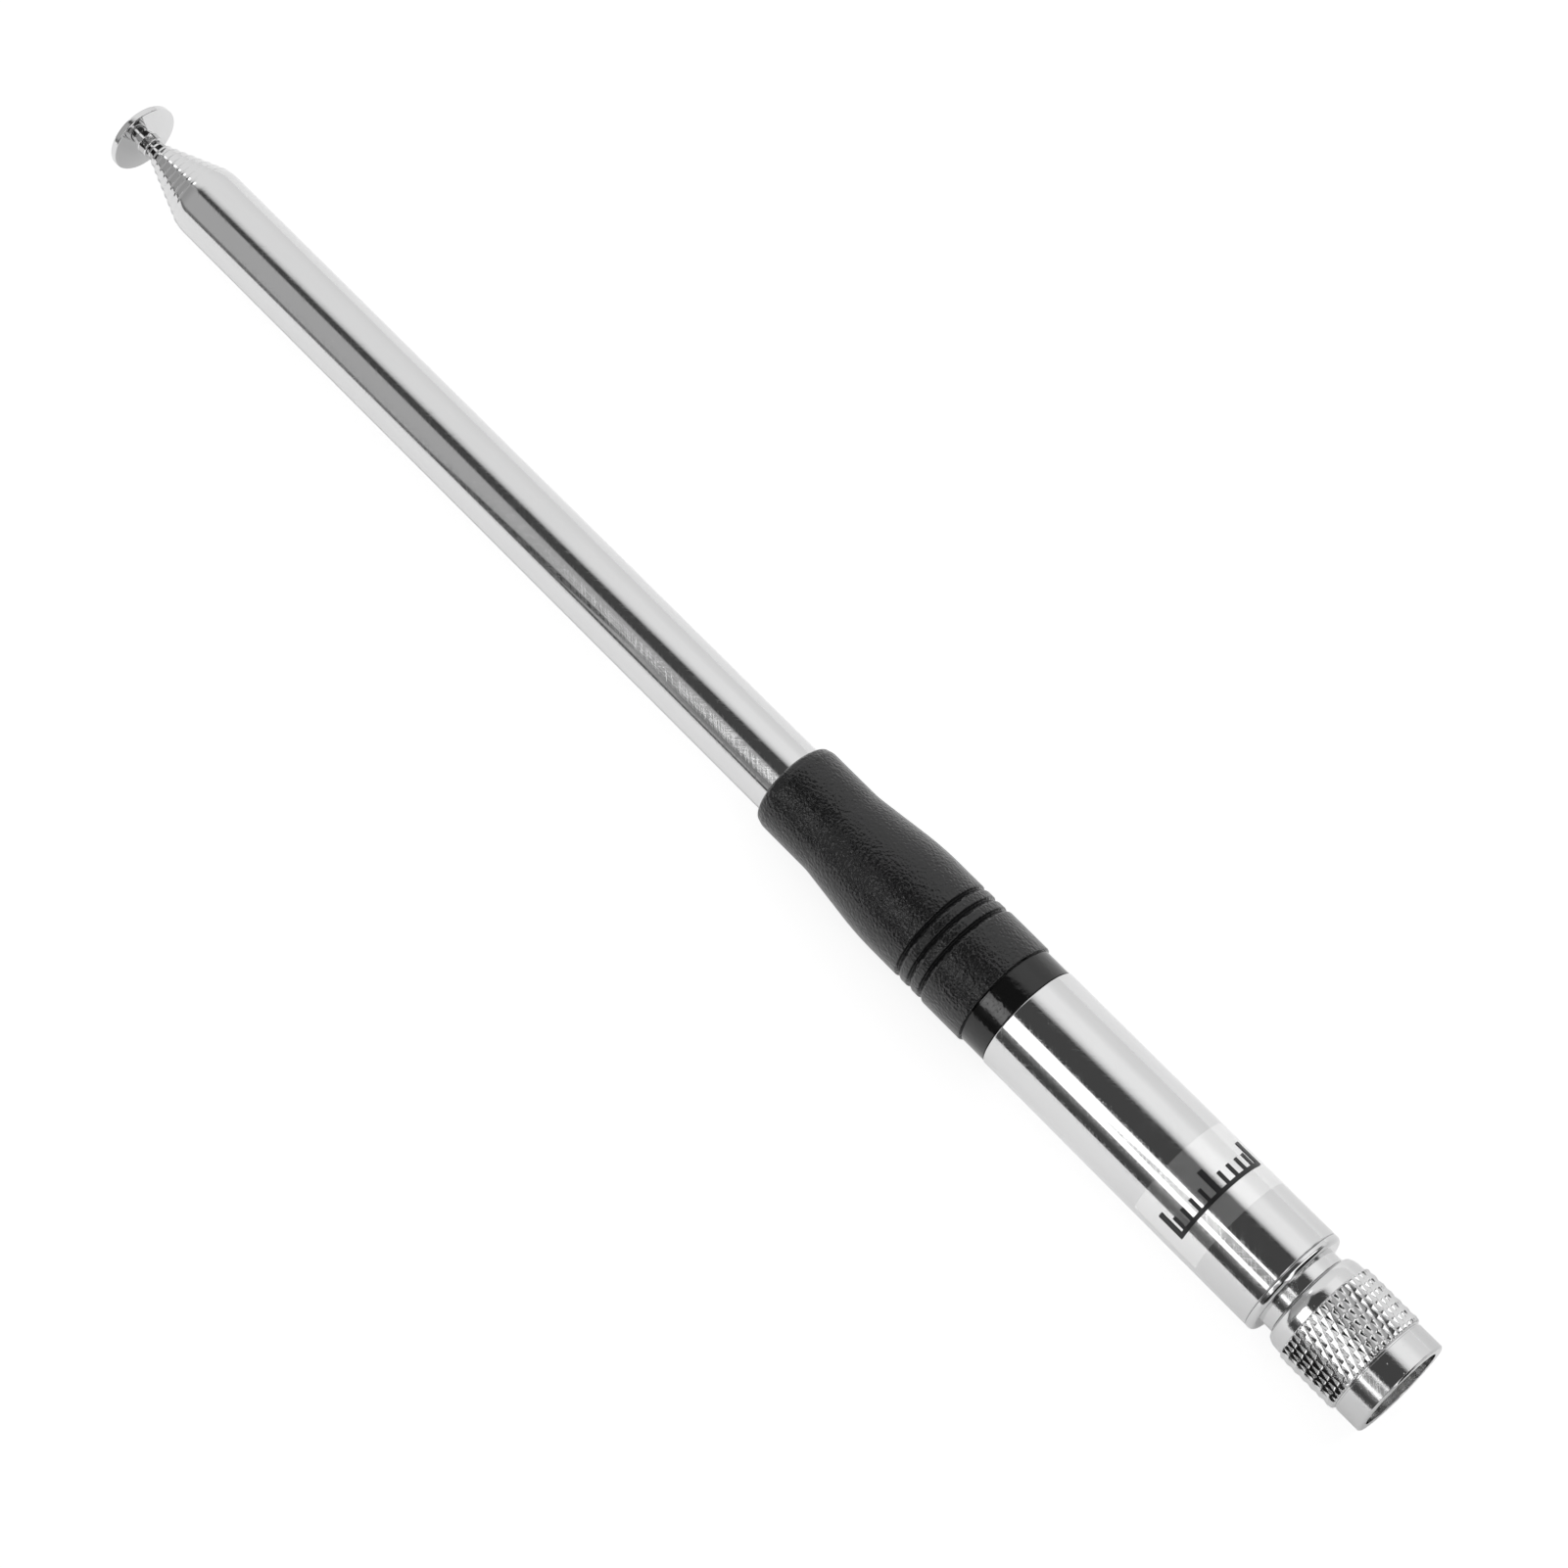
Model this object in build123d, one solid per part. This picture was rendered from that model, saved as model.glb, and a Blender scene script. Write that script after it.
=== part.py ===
from build123d import *
import os

# Telescopic whip antenna with a screw-on coaxial plug, collapsed, lying along X.
# Millimetres, +X from the plug towards the tip, +Z up.
# The origin is on the axis, at the mating plane: the front end of the plug's outer contact.

# Clearances
SEAT_GAP = 0.02          # round pieces that are pressed, glued or screwed together
RUN_GAP = 0.05           # round pieces that slide or turn in each other
STOP_GAP = 0.1           # what stays free at the end of a travel
NUT_END_GAP = 0.1        # between the coupling nut and what it turns against
FINE_EDGE = 0.12         # small broken edge on turned metal

# Plug: outer contact, hub, neck and rear spigot, turned in one piece
CONTACT_R = 4.05
CONTACT_WALL = 0.55
CONTACT_LENGTH = 7.4
CONTACT_LEAD_IN = 0.18   # chamfer inside its front edge
HUB_STEP = 0.45          # hub radius over contact radius
HUB_LENGTH = 5.5
NECK_STEP = 1.25         # neck radius over hub radius
NECK_LENGTH = 1.7
SPIGOT_STEP = 0.4        # rear spigot radius over hub radius
SPIGOT_LENGTH = 4.6

# Insulator and centre pin of the plug
CAVITY_R = 2.5
CAVITY_DEPTH = 5.3
INSULATOR_RECESS = 0.3
INSULATOR_LENGTH = 15.7
PIN_R = 0.685
PIN_RECESS = 0.5
PIN_BODY_R = 1.0
PIN_TAIL_LENGTH = 2.4    # behind the insulator
PIN_CUP_R = 0.45
PIN_CUP_DEPTH = 2.0
PIN_NOSE_ROUND = 0.55

# Coupling nut
RIM_REACH = 2.0          # ahead of the mating plane
RIM_LENGTH = 3.8
KNURL_LENGTH = 8.6
KNURL_STEP = 0.4         # knurl radius over rim radius
KNURL_CHAMFER = 0.3
SHOULDER_STEP = 0.35     # how far the shoulder starts under the knurl
SHOULDER_FALL = 0.1      # how much lower the shoulder is at its far end
SHOULDER_BEVEL = 0.8
SHOULDER_ROUND = 1.6     # between the shoulder and its bevel
THREAD_BORE_R = 5.15
NUT_WALL = 1.65
NUT_MOUTH_STEP = 0.45    # plain mouth's radius over the thread's
NUT_MOUTH_DEPTH = 1.0
RIM_CHAMFER = 0.2
RELIEF_DEPTH = 0.5
RELIEF_LENGTH = 1.8

# Retaining ring of the nut, and the sealing ring in it
RING_WIDTH = 0.9
RING_SINK = 0.4          # depth in the hub
RING_RISE = 0.5          # how far it stands out of the hub
RING_SETBACK = 2.35      # from the front of the hub
RING_OPENING = 1.6
RING_SIDE_GAP = 0.05     # in the hub's groove
RING_NUT_GAP = 0.15      # in the nut's groove
GASKET_WALL = 1.1
GASKET_LENGTH = 1.2
GASKET_SINK = 0.2        # its seat in the contact
GASKET_ROUND = 0.3

# Base: end cap, tube and label film
TUBE_R = 7.35
TUBE_WALL = 0.7
TUBE_LENGTH = 43.5
CAP_LENGTH = 1.1
CAP_ROUND = 0.6
CAP_SPIGOT_LENGTH = 3.0
FILM_START = 23.9
FILM_WIDTH = 9.95
FILM_THICKNESS = 0.08
FILM_CORNER = 1.2
FILM_FROM_DEG = 6.0
FILM_WRAP_DEG = 300.0

# Loading coil
FORMER_SETBACK = 1.6     # from the plug's rear end
FORMER_END_GAP = 0.3     # to the foot's stud
FORMER_WALL = 2.4
FORMER_BORE_R = 2.2
FLANGE_LENGTH = 1.2
FLANGE_SIDE_GAP = 0.1
WIRE_R = 0.4
WIRE_PITCH = 0.85
WIRE_CREST = 0.425       # flat top of a turn
LEAD_R = 0.3
LEAD_BEND = 0.8

# Insulating collar between the base tube and the whip
COLLAR_STEP = 0.12       # ring radius under tube radius
COLLAR_RING_LENGTH = 4.1
COLLAR_PLUG_LENGTH = 5.3
COLLAR_WALL = 1.78
COLLAR_SPIGOT_LENGTH = 8.7
COLLAR_WEB = 3.0

# Foot that carries the whip, with its nut and solder tag
FOOT_NECK_R = 4.2
FOOT_BODY_LENGTH = 14.0
FOOT_SPIGOT_LENGTH = 4.0
STUD_R = 2.0
STUD_END = 0.8           # past the nut
FOOT_NUT_HEIGHT = 2.4
FOOT_NUT_ACROSS = 7.0
TAG_THICKNESS = 0.5
TAG_R = 3.6
TAG_TAIL_WIDTH = 1.6

# Grip sleeve
SLEEVE_LENGTH = 37.3
SLEEVE_STEP = 0.17       # radius over tube radius at the lower end
SLEEVE_WAIST = 0.1       # how much less it is above the grooves
SLEEVE_TOP_WALL = 1.18
SLEEVE_NOSE_LENGTH = 1.36
SLEEVE_NOSE_ROUND = 1.77
SLEEVE_TIP_LENGTH = 0.35
SLEEVE_TIP_STEP = 0.885  # over the bore, where the tip starts
SLEEVE_TIP_ROUND = 0.7
SLEEVE_END_STEP = 0.24   # over the bore, at the very end
GROOVE_SETBACK = 6.85    # first groove, from the lower end
GROOVE_PITCH = 1.9
GROOVE_COUNT = 3
GROOVE_DEPTH = 0.45
GROOVE_HALF_WIDTH = 0.5
GROOVE_FLOOR = 0.15
FLARE_END = 18.0         # where the taper starts, from the lower end
FLARE_LENGTH = 10.1
FLARE_ROUND = 45.0
WAIST_ROUND = 10.0

# Whip
SECTION_COUNT = 10
MAST_R = 5.0
SECTION_WALL = 0.2
SECTION_STEP = 0.4375    # from one section's radius to the next
MAST_LENGTH = 127.5
MOUTH_STEP = 1.2         # each section's mouth over the one around it
MOUTH_LENGTH = 1.5
LIP_LENGTH = 0.35
LIP_ROUND = 0.065
SHOULDER_BEND = 2.0
END_COLLAR_LENGTH = 1.2
SPRING_LENGTH = 5.0
STOP_BEAD_LENGTH = 0.8
SPRING_OPENING = 0.9

# Button at the tip
BUTTON_GAP = 0.25        # over the mouth under it
BUTTON_HUB_R = 1.6
BUTTON_HUB_LENGTH = 1.3
BUTTON_R = 4.9
BUTTON_CONE = 0.65
BUTTON_EDGE = 1.0
BUTTON_CROWN = 0.3
BUTTON_EDGE_ROUND = 0.35
ROD_DEPTH = 2.2          # rod in the button

# Radii that follow
CONTACT_BORE_R = CONTACT_R - CONTACT_WALL
PLUG_HUB_R = CONTACT_R + HUB_STEP
NECK_R = PLUG_HUB_R + NECK_STEP
SPIGOT_R = PLUG_HUB_R + SPIGOT_STEP
RIM_R = THREAD_BORE_R + NUT_WALL
KNURL_R = RIM_R + KNURL_STEP
TUBE_BORE_R = TUBE_R - TUBE_WALL
FORMER_R = FORMER_BORE_R + FORMER_WALL
COIL_R = FORMER_R + SEAT_GAP + WIRE_R
FOOT_NECK_BORE_R = FOOT_NECK_R + SEAT_GAP
COLLAR_SPIGOT_R = FOOT_NECK_BORE_R + COLLAR_WALL
SLEEVE_R = TUBE_R + SLEEVE_STEP
SLEEVE_TOP_R = MAST_R + SEAT_GAP + SLEEVE_TOP_WALL

# Places along X that follow
HUB_END = CONTACT_LENGTH + HUB_LENGTH
NECK_END = HUB_END + NECK_LENGTH
PLUG_END = NECK_END + SPIGOT_LENGTH
INSULATOR_END = INSULATOR_RECESS + INSULATOR_LENGTH
NUT_END = HUB_END - NUT_END_GAP
RING_START = CONTACT_LENGTH + RING_SETBACK
TUBE_START = NECK_END + CAP_LENGTH
TUBE_END = TUBE_START + TUBE_LENGTH
SLEEVE_START = TUBE_END + COLLAR_RING_LENGTH
SLEEVE_END = SLEEVE_START + SLEEVE_LENGTH
COLLAR_START = TUBE_END - COLLAR_PLUG_LENGTH
COLLAR_END = SLEEVE_START + COLLAR_SPIGOT_LENGTH
TAG_START = COLLAR_START - TAG_THICKNESS
FOOT_NUT_START = TAG_START - FOOT_NUT_HEIGHT
STUD_START = FOOT_NUT_START - STUD_END
MAST_START = COLLAR_END + FOOT_BODY_LENGTH
FOOT_END = MAST_START + FOOT_SPIGOT_LENGTH
SECTION_START = FOOT_END + RUN_GAP
FORMER_START = PLUG_END + FORMER_SETBACK
FORMER_END = STUD_START - FORMER_END_GAP
WINDING_LENGTH = FORMER_END - FORMER_START - 2 * FLANGE_LENGTH
WIRE_TURNS = int(WINDING_LENGTH / WIRE_PITCH) - 1
COIL_LENGTH = WIRE_PITCH * WIRE_TURNS
COIL_START = FORMER_START + FLANGE_LENGTH + (WINDING_LENGTH - COIL_LENGTH) / 2
COIL_END = COIL_START + COIL_LENGTH


def turned(*outline):
    """Solid of revolution about X. Each point is (x, radius) or (x, radius, fillet)."""
    corners = [point[:2] for point in outline]
    rounds = [point[2] if len(point) == 3 else 0 for point in outline]
    path = FilletPolyline(*corners, radius=rounds, close=True)
    return revolve(make_face(path), Axis.X)


def tube(start, end, outer_r, inner_r, edge=0):
    """Plain tube or ring along X, with its outer edges rounded by edge."""
    return turned((start, inner_r), (start, outer_r, edge), (end, outer_r, edge), (end, inner_r))


def rod(start, end, radius):
    """Plain round bar along X."""
    return turned((start, 0), (start, radius), (end, radius), (end, 0))


def slot(start, end, width, reach, turn_deg):
    """Bar that cuts a lengthwise opening from the axis outwards, turned about X."""
    bar = Pos((start + end) / 2, 0, reach / 2) * Box(end - start, width, reach)
    return Rot(turn_deg, 0, 0) * bar


def plug_body():
    """Outer contact, hub with the retaining ring's groove, neck and rear spigot."""
    groove_r = PLUG_HUB_R - RING_SINK
    groove_start = RING_START - RING_SIDE_GAP
    groove_end = RING_START + RING_WIDTH + RING_SIDE_GAP
    seat_start = CONTACT_LENGTH - GASKET_LENGTH - RUN_GAP
    seat_r = CONTACT_R - GASKET_SINK
    return turned(
        (0, CONTACT_BORE_R + CONTACT_LEAD_IN), (0, CONTACT_R - FINE_EDGE), (FINE_EDGE, CONTACT_R),
        (seat_start, CONTACT_R), (seat_start, seat_r), (CONTACT_LENGTH, seat_r),
        (CONTACT_LENGTH, PLUG_HUB_R),
        (groove_start, PLUG_HUB_R), (groove_start, groove_r),
        (groove_end, groove_r), (groove_end, PLUG_HUB_R),
        (HUB_END, PLUG_HUB_R), (HUB_END, NECK_R - FINE_EDGE), (HUB_END + FINE_EDGE, NECK_R),
        (NECK_END, NECK_R), (NECK_END, SPIGOT_R), (PLUG_END, SPIGOT_R),
        (PLUG_END, CONTACT_BORE_R), (CONTACT_LEAD_IN, CONTACT_BORE_R),
    )


def plug_insulator():
    """Insulator of the plug: open cavity in front, solid round the pin behind."""
    outer_r = CONTACT_BORE_R - SEAT_GAP
    pin_hole_r = PIN_BODY_R + SEAT_GAP
    return turned(
        (INSULATOR_RECESS, CAVITY_R), (INSULATOR_RECESS, outer_r), (INSULATOR_END, outer_r),
        (INSULATOR_END, pin_hole_r), (CAVITY_DEPTH, pin_hole_r), (CAVITY_DEPTH, CAVITY_R),
    )


def centre_pin():
    """Centre contact: slim round-nosed pin, thicker body and a solder cup at its tail."""
    tail_end = INSULATOR_END + PIN_TAIL_LENGTH
    return turned(
        (PIN_RECESS, 0), (PIN_RECESS, PIN_R, PIN_NOSE_ROUND), (CAVITY_DEPTH, PIN_R),
        (CAVITY_DEPTH, PIN_BODY_R), (tail_end, PIN_BODY_R), (tail_end, PIN_CUP_R),
        (tail_end - PIN_CUP_DEPTH, PIN_CUP_R), (tail_end - PIN_CUP_DEPTH, 0),
    )


def coupling_nut():
    """Knurled nut with a plain rim, a rounded shoulder and a collar that turns on the hub."""
    rim = -RIM_REACH
    knurl_start = rim + RIM_LENGTH
    knurl_end = knurl_start + KNURL_LENGTH
    mouth_r = THREAD_BORE_R + NUT_MOUTH_STEP
    mouth_end = rim + NUT_MOUTH_DEPTH
    shoulder_r = KNURL_R - SHOULDER_STEP
    shoulder_low_r = shoulder_r - SHOULDER_FALL
    collar_r = PLUG_HUB_R + RUN_GAP
    floor = CONTACT_LENGTH + NUT_END_GAP
    relief_r = THREAD_BORE_R + RELIEF_DEPTH
    groove_r = PLUG_HUB_R + RING_RISE + RING_NUT_GAP
    groove_start = RING_START - RING_NUT_GAP
    groove_end = RING_START + RING_WIDTH + RING_NUT_GAP
    return turned(
        (rim, mouth_r), (rim, RIM_R - RIM_CHAMFER),
        (rim + RIM_CHAMFER, RIM_R), (knurl_start, RIM_R),
        (knurl_start + KNURL_CHAMFER, KNURL_R), (knurl_end - KNURL_CHAMFER, KNURL_R),
        (knurl_end, shoulder_r), (NUT_END - SHOULDER_BEVEL, shoulder_low_r, SHOULDER_ROUND),
        (NUT_END, shoulder_low_r - SHOULDER_BEVEL),
        (NUT_END, collar_r), (groove_end, collar_r), (groove_end, groove_r),
        (groove_start, groove_r), (groove_start, collar_r), (floor, collar_r),
        (floor, relief_r), (floor - RELIEF_LENGTH, relief_r),
        (floor - RELIEF_LENGTH, THREAD_BORE_R), (mouth_end, THREAD_BORE_R), (mouth_end, mouth_r),
    )


def nut_retaining_ring():
    """Split spring ring that keeps the coupling nut on the hub."""
    inner_r = PLUG_HUB_R - RING_SINK + SEAT_GAP
    outer_r = PLUG_HUB_R + RING_RISE
    ring_end = RING_START + RING_WIDTH
    ring = tube(RING_START, ring_end, outer_r, inner_r)
    return ring - slot(RING_START, ring_end, RING_OPENING, 2 * outer_r, 180)


def nut_gasket():
    """Sealing ring round the outer contact, against the hub."""
    inner_r = CONTACT_R - GASKET_SINK + SEAT_GAP
    start = CONTACT_LENGTH - GASKET_LENGTH
    return tube(start, CONTACT_LENGTH, inner_r + GASKET_WALL, inner_r, GASKET_ROUND)


def base_cap():
    """Round-edged end cap that screws on the plug and plugs the base tube."""
    bore_r = SPIGOT_R + SEAT_GAP
    spigot_r = TUBE_BORE_R - SEAT_GAP
    spigot_end = TUBE_START + CAP_SPIGOT_LENGTH
    return turned(
        (NECK_END, bore_r), (NECK_END, TUBE_R, CAP_ROUND), (TUBE_START - FINE_EDGE, TUBE_R),
        (TUBE_START, TUBE_R - FINE_EDGE), (TUBE_START, spigot_r), (spigot_end, spigot_r),
        (spigot_end, bore_r),
    )


def base_tube():
    """Tube over the loading coil."""
    return tube(TUBE_START, TUBE_END, TUBE_R, TUBE_BORE_R, FINE_EDGE)


def film_corner(x, inward, end_deg, along):
    """What one rounded corner takes off the film: a block less a round bar."""
    block = Pos(x + inward * FILM_CORNER / 2, TUBE_R, along * FILM_CORNER / 2) * Box(
        FILM_CORNER, FILM_CORNER, FILM_CORNER)
    bar = Pos(x + inward * FILM_CORNER, TUBE_R, along * FILM_CORNER) * Rot(90, 0, 0) * Cylinder(
        FILM_CORNER, 2 * FILM_CORNER)
    return Rot(end_deg, 0, 0) * (block - bar)


def label_film():
    """Clear film wrapped most of the way round the base tube, with rounded corners."""
    inner_r = TUBE_R + SEAT_GAP / 2
    outer_r = inner_r + FILM_THICKNESS
    film_end = FILM_START + FILM_WIDTH
    section = make_face(Polyline(
        (FILM_START, inner_r), (film_end, inner_r), (film_end, outer_r), (FILM_START, outer_r),
        close=True,
    ))
    film = revolve(section, Axis.X, FILM_WRAP_DEG)
    for x, inward in ((FILM_START, 1), (film_end, -1)):
        for end_deg, along in ((0, 1), (FILM_WRAP_DEG, -1)):
            film -= film_corner(x, inward, end_deg, along)
    return Rot(FILM_FROM_DEG, 0, 0) * film


def coil_former():
    """Bobbin with a flange at each end, notched where the leads pass."""
    flange_r = TUBE_BORE_R - FLANGE_SIDE_GAP
    former = turned(
        (FORMER_START, FORMER_BORE_R), (FORMER_START, flange_r),
        (FORMER_START + FLANGE_LENGTH, flange_r), (FORMER_START + FLANGE_LENGTH, FORMER_R),
        (FORMER_END - FLANGE_LENGTH, FORMER_R), (FORMER_END - FLANGE_LENGTH, flange_r),
        (FORMER_END, flange_r), (FORMER_END, FORMER_BORE_R),
    )
    notch_width = 2 * LEAD_R + 4 * SEAT_GAP
    for start, turn_deg in ((FORMER_START, 180), (FORMER_END - FLANGE_LENGTH, 0)):
        opening = slot(start, start + FLANGE_LENGTH, notch_width, 2 * flange_r, turn_deg)
        former -= opening - rod(start, start + FLANGE_LENGTH, FORMER_R)
    return former


def loading_coil():
    """Winding of round wire, side by side, as one ribbed shell."""
    outer_r = COIL_R + WIRE_R
    outline = [(COIL_START, FORMER_R + SEAT_GAP)]
    for turn in range(WIRE_TURNS):
        start = COIL_START + WIRE_PITCH * turn
        outline.append((start, COIL_R))
        outline.append((start + (WIRE_PITCH - WIRE_CREST) / 2, outer_r))
        outline.append((start + (WIRE_PITCH + WIRE_CREST) / 2, outer_r))
    outline.append((COIL_END, COIL_R))
    outline.append((COIL_END, FORMER_R + SEAT_GAP))
    return revolve(make_face(Polyline(*outline, close=True)), Axis.X)


def wire(*route):
    """Round wire along a bent route."""
    if len(route) == 2:
        path = Line(*route)
    else:
        path = FilletPolyline(*route, radius=LEAD_BEND)
    start = Plane(origin=path @ 0, z_dir=path % 0)
    return sweep(start * Circle(LEAD_R), path=path)


def lower_lead():
    """Wire from the pin's solder cup out to the first turn of the coil."""
    cup_floor = INSULATOR_END + PIN_TAIL_LENGTH - PIN_CUP_DEPTH + SEAT_GAP
    cross_x = (PLUG_END + FORMER_START) / 2
    return wire(
        (cup_floor, 0, 0), (cross_x, 0, 0), (cross_x, 0, -COIL_R),
        (COIL_START - SEAT_GAP, 0, -COIL_R),
    )


def upper_lead():
    """Wire from the last turn of the coil to the solder tag."""
    return wire((COIL_END + SEAT_GAP, 0, COIL_R), (TAG_START, 0, COIL_R))


def insulator_collar():
    """Black collar: plug in the base tube, visible ring, spigot in the grip sleeve."""
    ring_r = TUBE_R - COLLAR_STEP
    web_end = COLLAR_START + COLLAR_WEB
    return turned(
        (COLLAR_START, STUD_R + SEAT_GAP), (COLLAR_START, TUBE_BORE_R - SEAT_GAP),
        (TUBE_END, TUBE_BORE_R - SEAT_GAP), (TUBE_END, ring_r), (SLEEVE_START, ring_r),
        (SLEEVE_START, COLLAR_SPIGOT_R), (COLLAR_END, COLLAR_SPIGOT_R),
        (COLLAR_END, FOOT_NECK_BORE_R), (web_end, FOOT_NECK_BORE_R),
        (web_end, STUD_R + SEAT_GAP),
    )


def whip_foot():
    """Foot: stud, neck in the collar, body in the sleeve, spigot in the outermost section."""
    web_end = COLLAR_START + COLLAR_WEB
    spigot_r = MAST_R - SECTION_WALL - SEAT_GAP
    return turned(
        (STUD_START, 0), (STUD_START, STUD_R), (web_end, STUD_R),
        (web_end, FOOT_NECK_R), (COLLAR_END, FOOT_NECK_R), (COLLAR_END, MAST_R),
        (MAST_START, MAST_R), (MAST_START, spigot_r), (FOOT_END, spigot_r), (FOOT_END, 0),
    )


def solder_tag():
    """Flat washer with a tail that reaches the coil's upper lead."""
    tail = slot(TAG_START, COLLAR_START, TAG_TAIL_WIDTH, COIL_R + 2 * LEAD_R, 0)
    washer = rod(TAG_START, COLLAR_START, TAG_R)
    return washer + tail - rod(TAG_START, COLLAR_START, STUD_R + SEAT_GAP)


def foot_nut():
    """Thin hexagon nut that holds the foot and the tag to the collar."""
    hexagon = RegularPolygon(FOOT_NUT_ACROSS / 2, 6, major_radius=False)
    nut = extrude(Plane.YZ.offset(FOOT_NUT_START) * hexagon, FOOT_NUT_HEIGHT)
    return nut - rod(FOOT_NUT_START, TAG_START, STUD_R + SEAT_GAP)


def grip_sleeve():
    """Grip: grooved lower end, long taper and a slim round-ended top."""
    waist_r = SLEEVE_R - SLEEVE_WAIST
    taper_start = SLEEVE_START + FLARE_END
    taper_end = taper_start + FLARE_LENGTH
    top_bore_r = MAST_R + SEAT_GAP
    spigot_bore_r = COLLAR_SPIGOT_R + SEAT_GAP
    outline = [(SLEEVE_START, spigot_bore_r), (SLEEVE_START, SLEEVE_R, FINE_EDGE)]
    for groove in range(GROOVE_COUNT):
        centre = SLEEVE_START + GROOVE_SETBACK + groove * GROOVE_PITCH
        before_r = SLEEVE_R if groove == 0 else waist_r
        floor_r = waist_r - GROOVE_DEPTH
        outline.append((centre - GROOVE_HALF_WIDTH, before_r, GROOVE_HALF_WIDTH / 2))
        outline.append((centre - GROOVE_FLOOR, floor_r))
        outline.append((centre + GROOVE_FLOOR, floor_r))
        outline.append((centre + GROOVE_HALF_WIDTH, waist_r, GROOVE_HALF_WIDTH / 2))
    outline.append((taper_start, waist_r, FLARE_ROUND))
    outline.append((taper_end, SLEEVE_TOP_R, WAIST_ROUND))
    tip_start = SLEEVE_END - SLEEVE_TIP_LENGTH
    outline.append((SLEEVE_END - SLEEVE_NOSE_LENGTH, SLEEVE_TOP_R, SLEEVE_NOSE_ROUND))
    outline.append((tip_start, top_bore_r + SLEEVE_TIP_STEP, SLEEVE_TIP_ROUND))
    outline.append((SLEEVE_END, top_bore_r + SLEEVE_END_STEP))
    outline.append((SLEEVE_END, top_bore_r))
    outline.append((COLLAR_END, top_bore_r))
    outline.append((COLLAR_END, spigot_bore_r))
    return turned(*outline)


def section_radius(number):
    """Outer radius of a section, counted from the outermost."""
    return MAST_R - SECTION_STEP * (number - 1)


def mouth_x(number):
    """Where a section's mouth ends, counted from the outermost."""
    return MAST_START + MAST_LENGTH + MOUTH_STEP * (number - 1)


def mouth_outline(number):
    """Outline of a section's spun-in mouth, from the outer wall round to the inner wall."""
    outer_r = section_radius(number)
    end = mouth_x(number)
    lip_bore_r = section_radius(number + 1) + RUN_GAP
    lip_r = lip_bore_r + SECTION_WALL
    return [
        (end - MOUTH_LENGTH, outer_r, SHOULDER_BEND), (end - LIP_LENGTH, lip_r),
        (end, lip_r, LIP_ROUND), (end, lip_bore_r), (end - LIP_LENGTH, lip_bore_r),
        (end - MOUTH_LENGTH, outer_r - SECTION_WALL),
    ]


def foot_outline(number):
    """Outline of a sliding section's foot: end collar, seat of the spring, stop bead."""
    outer_r = section_radius(number)
    bead_r = section_radius(number - 1) - SECTION_WALL - RUN_GAP
    collar_end = SECTION_START + END_COLLAR_LENGTH
    bead_start = collar_end + SPRING_LENGTH
    return [
        (SECTION_START, bead_r), (collar_end, bead_r), (collar_end, outer_r),
        (bead_start, outer_r), (bead_start, bead_r), (bead_start + STOP_BEAD_LENGTH, bead_r),
        (bead_start + STOP_BEAD_LENGTH, outer_r),
    ]


def outermost_section():
    """Section that is fixed on the foot."""
    inner_r = MAST_R - SECTION_WALL
    return turned((MAST_START, inner_r), (MAST_START, MAST_R), *mouth_outline(1))


def sliding_section(number):
    """Tube that slides in the section around it."""
    inner_r = section_radius(number) - SECTION_WALL
    return turned((SECTION_START, inner_r), *foot_outline(number), *mouth_outline(number))


def innermost_section():
    """Solid rod that carries the button."""
    rod_r = section_radius(SECTION_COUNT)
    rod_end = button_start() + ROD_DEPTH
    return turned((SECTION_START, 0), *foot_outline(SECTION_COUNT), (rod_end, rod_r), (rod_end, 0))


def section_spring(number):
    """Split spring sleeve on a section's foot, which grips the section around it."""
    start = SECTION_START + END_COLLAR_LENGTH + SEAT_GAP
    end = start + SPRING_LENGTH - 2 * SEAT_GAP
    inner_r = section_radius(number) + SEAT_GAP
    outer_r = section_radius(number - 1) - SECTION_WALL - RUN_GAP
    sleeve = tube(start, end, outer_r, inner_r)
    return sleeve - slot(start, end, SPRING_OPENING, 2 * outer_r, 0)


def button_start():
    """Lower end of the button's hub, just over the last mouth."""
    return mouth_x(SECTION_COUNT - 1) + BUTTON_GAP


def tip_button():
    """Flat round button with a short hub, coned under its rim."""
    start = button_start()
    hub_end = start + BUTTON_HUB_LENGTH
    rim_start = hub_end + BUTTON_CONE
    rim_end = rim_start + BUTTON_EDGE
    bore_r = section_radius(SECTION_COUNT) + SEAT_GAP
    floor = start + ROD_DEPTH
    return turned(
        (start, bore_r), (start, BUTTON_HUB_R, FINE_EDGE), (hub_end, BUTTON_HUB_R, FINE_EDGE),
        (rim_start, BUTTON_R, FINE_EDGE), (rim_end, BUTTON_R, BUTTON_EDGE_ROUND),
        (rim_end + BUTTON_CROWN, 0), (floor, 0), (floor, bore_r),
    )


def travel(number):
    """How far a section slides out of the one around it."""
    bead_end = SECTION_START + END_COLLAR_LENGTH + SPRING_LENGTH + STOP_BEAD_LENGTH
    return mouth_x(number - 1) - MOUTH_LENGTH - bead_end - STOP_GAP


def write(name, shape):
    """Write one piece to its own file."""
    export_step(shape, os.path.join("parts", name + ".step"))


os.makedirs("parts", exist_ok=True)

for piece in (
    plug_body, plug_insulator, centre_pin, coupling_nut, nut_retaining_ring, nut_gasket,
    base_cap, base_tube, label_film, coil_former, loading_coil, lower_lead, upper_lead,
    insulator_collar, whip_foot, solder_tag, foot_nut, grip_sleeve, tip_button,
):
    write(piece.__name__, piece())

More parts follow.
